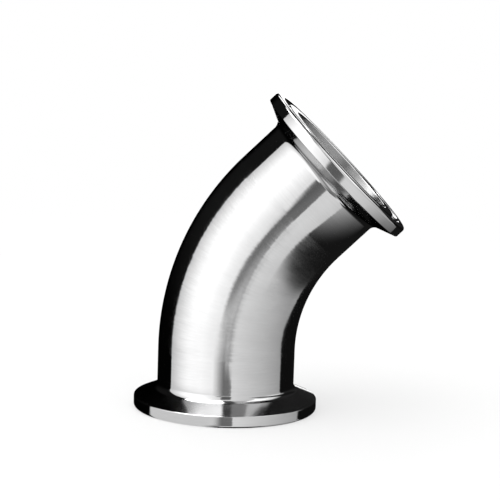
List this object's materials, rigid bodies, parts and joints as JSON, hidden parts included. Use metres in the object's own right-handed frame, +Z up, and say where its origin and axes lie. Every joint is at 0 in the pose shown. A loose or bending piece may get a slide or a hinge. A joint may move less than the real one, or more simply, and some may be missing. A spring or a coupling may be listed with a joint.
{
  "type": "sanitary clamp elbow",
  "caption": "Polished stainless steel tube elbow that turns a flow by 45 degrees, with a grooved clamp flange at either end.",
  "frame": {"origin": "middle of the lower sealing face", "axes": "+Z up along the lower leg, away from its face; the bend turns towards +X in the XZ plane; Y is across it"},
  "size_m": [0.0732, 0.051, 0.088],
  "materials": {
    "tube_polish": "bright mechanical polish, with hairlines that run round the tube",
    "ferrule_polish": "turned and polished bright, with hairlines that run round the axis"
  },
  "bodies": {
    "root": {"elbow_tube": "tube_polish", "lower_ferrule": "ferrule_polish", "upper_ferrule": "ferrule_polish"}
  },
  "joints": []
}
